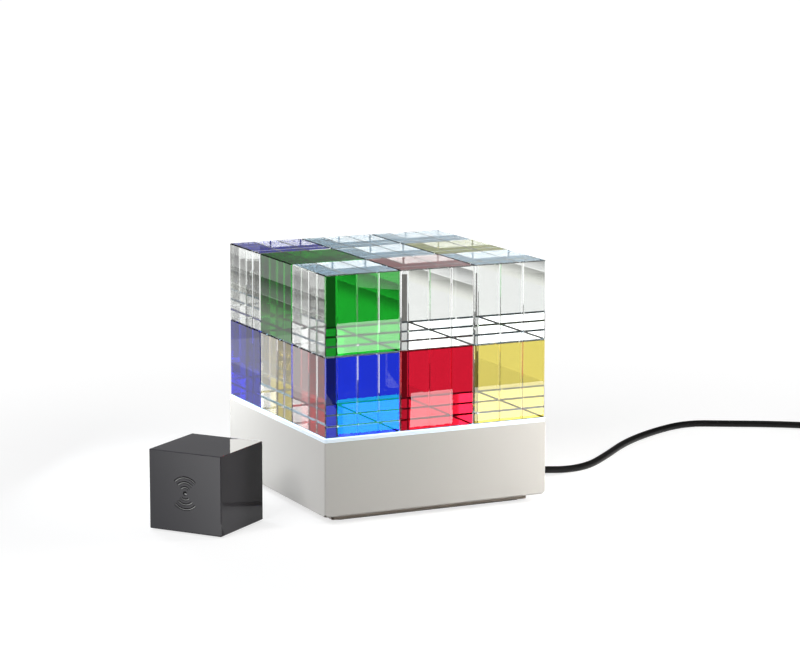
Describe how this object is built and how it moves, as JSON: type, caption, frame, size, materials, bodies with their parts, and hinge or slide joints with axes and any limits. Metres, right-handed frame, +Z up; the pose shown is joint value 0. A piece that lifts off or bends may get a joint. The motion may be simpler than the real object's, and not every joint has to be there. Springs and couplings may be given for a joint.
{
  "type": "led cube light",
  "caption": "Table light of loose, partly coloured optical-glass cubes stacked on a square glowing base, with a wireless control cube and a plug-in supply on a thin black lead.",
  "frame": {"origin": "on the table, at the middle of the rubber pad under the square base", "axes": "+X to the right along the base's front, towards the lead; +Y to the back; +Z up"},
  "size_m": [0.5274, 0.1514, 0.1232],
  "materials": {
    "clear_crystal": "polished",
    "green_crystal": "polished",
    "blue_crystal": "polished",
    "red_crystal": "polished",
    "yellow_crystal": "polished",
    "shell_lacquer": "satin",
    "tray_lacquer": "satin",
    "black_rubber": "matte",
    "zinc_steel": "satin",
    "opal_acrylic": "satin",
    "white_abs": "matte",
    "bare_aluminium": "brushed",
    "white_solder_mask": "satin",
    "nickel_brass": "polished",
    "led_package": "gloss",
    "green_solder_mask": "satin",
    "nylon": "matte",
    "green_terminal": "satin",
    "tinned_can": "satin",
    "ferrite": "matte",
    "capacitor_sleeve": "gloss",
    "black_epoxy": "matte",
    "core_insulation": "satin",
    "cord_jacket": "satin",
    "strap_nylon": "matte",
    "supply_plastic": "satin",
    "black_gloss": "gloss",
    "sign_enamel": "gloss",
    "black_abs": "matte",
    "battery_steel": "satin"
  },
  "bodies": {
    "base": {"base_shell": "shell_lacquer", "board_posts": "nylon", "board_standoffs": "nickel_brass", "bottom_tray": "tray_lacquer", "carrier_screws": "zinc_steel", "control_board": "green_solder_mask", "cord_coil": "cord_jacket", "cord_strain_relief": "black_rubber", "cord_tail": "cord_jacket", "cord_tie": "strap_nylon", "driver_chip": "black_epoxy", "driver_coil": "ferrite", "heat_spreader_plate": "bare_aluminium", "lead_cores": "core_insulation", "led_board": "white_solder_mask", "leds": "led_package", "light_chamber": "white_abs", "link_wires": "core_insulation", "opal_plate": "opal_acrylic", "power_cord": "cord_jacket", "press_nuts": "zinc_steel", "radio_module": "tinned_can", "rubber_base_pad": "black_rubber", "smoothing_capacitor": "capacitor_sleeve", "supply_circuit_board": "green_solder_mask", "supply_front_housing": "supply_plastic", "supply_pins": "nickel_brass", "supply_rear_housing": "supply_plastic", "supply_strain_relief": "black_rubber", "supply_transformer": "ferrite", "terminal_block": "green_terminal", "tray_screws": "zinc_steel"},
    "control_cube": {"control_battery": "battery_steel", "control_battery_clip": "nickel_brass", "control_cube_shell": "black_gloss", "control_floor_plate": "black_abs", "control_foot_pad": "black_rubber", "control_radio_board": "green_solder_mask", "control_wireless_sign": "sign_enamel"},
    "lower_cube_11": {"lower_cube_11_clear": "clear_crystal"},
    "lower_cube_12": {"lower_cube_12_clear": "clear_crystal"},
    "lower_cube_13": {"lower_cube_13_blue": "blue_crystal"},
    "lower_cube_21": {"lower_cube_21_red": "red_crystal"},
    "lower_cube_22": {"lower_cube_22_clear": "clear_crystal"},
    "lower_cube_23": {"lower_cube_23_clear": "clear_crystal"},
    "lower_cube_31": {"lower_cube_31_clear": "clear_crystal"},
    "lower_cube_32": {"lower_cube_32_yellow": "yellow_crystal"},
    "lower_cube_33": {"lower_cube_33_clear": "clear_crystal"},
    "upper_cube_11": {"upper_cube_11_clear": "clear_crystal"},
    "upper_cube_12": {"upper_cube_12_green": "green_crystal"},
    "upper_cube_13": {"upper_cube_13_clear": "clear_crystal"},
    "upper_cube_21": {"upper_cube_21_clear": "clear_crystal"},
    "upper_cube_22": {"upper_cube_22_clear": "clear_crystal"},
    "upper_cube_23": {"upper_cube_23_clear": "clear_crystal"},
    "upper_cube_31": {"upper_cube_31_clear": "clear_crystal"},
    "upper_cube_32": {"upper_cube_32_clear": "clear_crystal"},
    "upper_cube_33": {"upper_cube_33_clear": "clear_crystal"}
  },
  "joints": [
    {"name": "lift_lower_cube_11", "type": "slide", "parent": "base", "child": "lower_cube_11", "axis": [0, 0, 1], "range_m": [0, 0.085]},
    {"name": "lift_lower_cube_12", "type": "slide", "parent": "base", "child": "lower_cube_12", "axis": [0, 0, 1], "range_m": [0, 0.085]},
    {"name": "lift_lower_cube_13", "type": "slide", "parent": "base", "child": "lower_cube_13", "axis": [0, 0, 1], "range_m": [0, 0.085]},
    {"name": "lift_lower_cube_21", "type": "slide", "parent": "base", "child": "lower_cube_21", "axis": [0, 0, 1], "range_m": [0, 0.085]},
    {"name": "lift_lower_cube_22", "type": "slide", "parent": "base", "child": "lower_cube_22", "axis": [0, 0, 1], "range_m": [0, 0.085]},
    {"name": "lift_lower_cube_23", "type": "slide", "parent": "base", "child": "lower_cube_23", "axis": [0, 0, 1], "range_m": [0, 0.085]},
    {"name": "lift_lower_cube_31", "type": "slide", "parent": "base", "child": "lower_cube_31", "axis": [0, 0, 1], "range_m": [0, 0.085]},
    {"name": "lift_lower_cube_32", "type": "slide", "parent": "base", "child": "lower_cube_32", "axis": [0, 0, 1], "range_m": [0, 0.085]},
    {"name": "lift_lower_cube_33", "type": "slide", "parent": "base", "child": "lower_cube_33", "axis": [0, 0, 1], "range_m": [0, 0.085]},
    {"name": "lift_upper_cube_11", "type": "slide", "parent": "lower_cube_11", "child": "upper_cube_11", "axis": [0, 0, 1], "range_m": [0, 0.05]},
    {"name": "lift_upper_cube_12", "type": "slide", "parent": "lower_cube_12", "child": "upper_cube_12", "axis": [0, 0, 1], "range_m": [0, 0.05]},
    {"name": "lift_upper_cube_13", "type": "slide", "parent": "lower_cube_13", "child": "upper_cube_13", "axis": [0, 0, 1], "range_m": [0, 0.05]},
    {"name": "lift_upper_cube_21", "type": "slide", "parent": "lower_cube_21", "child": "upper_cube_21", "axis": [0, 0, 1], "range_m": [0, 0.05]},
    {"name": "lift_upper_cube_22", "type": "slide", "parent": "lower_cube_22", "child": "upper_cube_22", "axis": [0, 0, 1], "range_m": [0, 0.05]},
    {"name": "lift_upper_cube_23", "type": "slide", "parent": "lower_cube_23", "child": "upper_cube_23", "axis": [0, 0, 1], "range_m": [0, 0.05]},
    {"name": "lift_upper_cube_31", "type": "slide", "parent": "lower_cube_31", "child": "upper_cube_31", "axis": [0, 0, 1], "range_m": [0, 0.05]},
    {"name": "lift_upper_cube_32", "type": "slide", "parent": "lower_cube_32", "child": "upper_cube_32", "axis": [0, 0, 1], "range_m": [0, 0.05]},
    {"name": "lift_upper_cube_33", "type": "slide", "parent": "lower_cube_33", "child": "upper_cube_33", "axis": [0, 0, 1], "range_m": [0, 0.05]},
    {"name": "lift_control_cube", "type": "slide", "parent": "base", "child": "control_cube", "axis": [0, 0, 1], "range_m": [0, 0.06]}
  ]
}
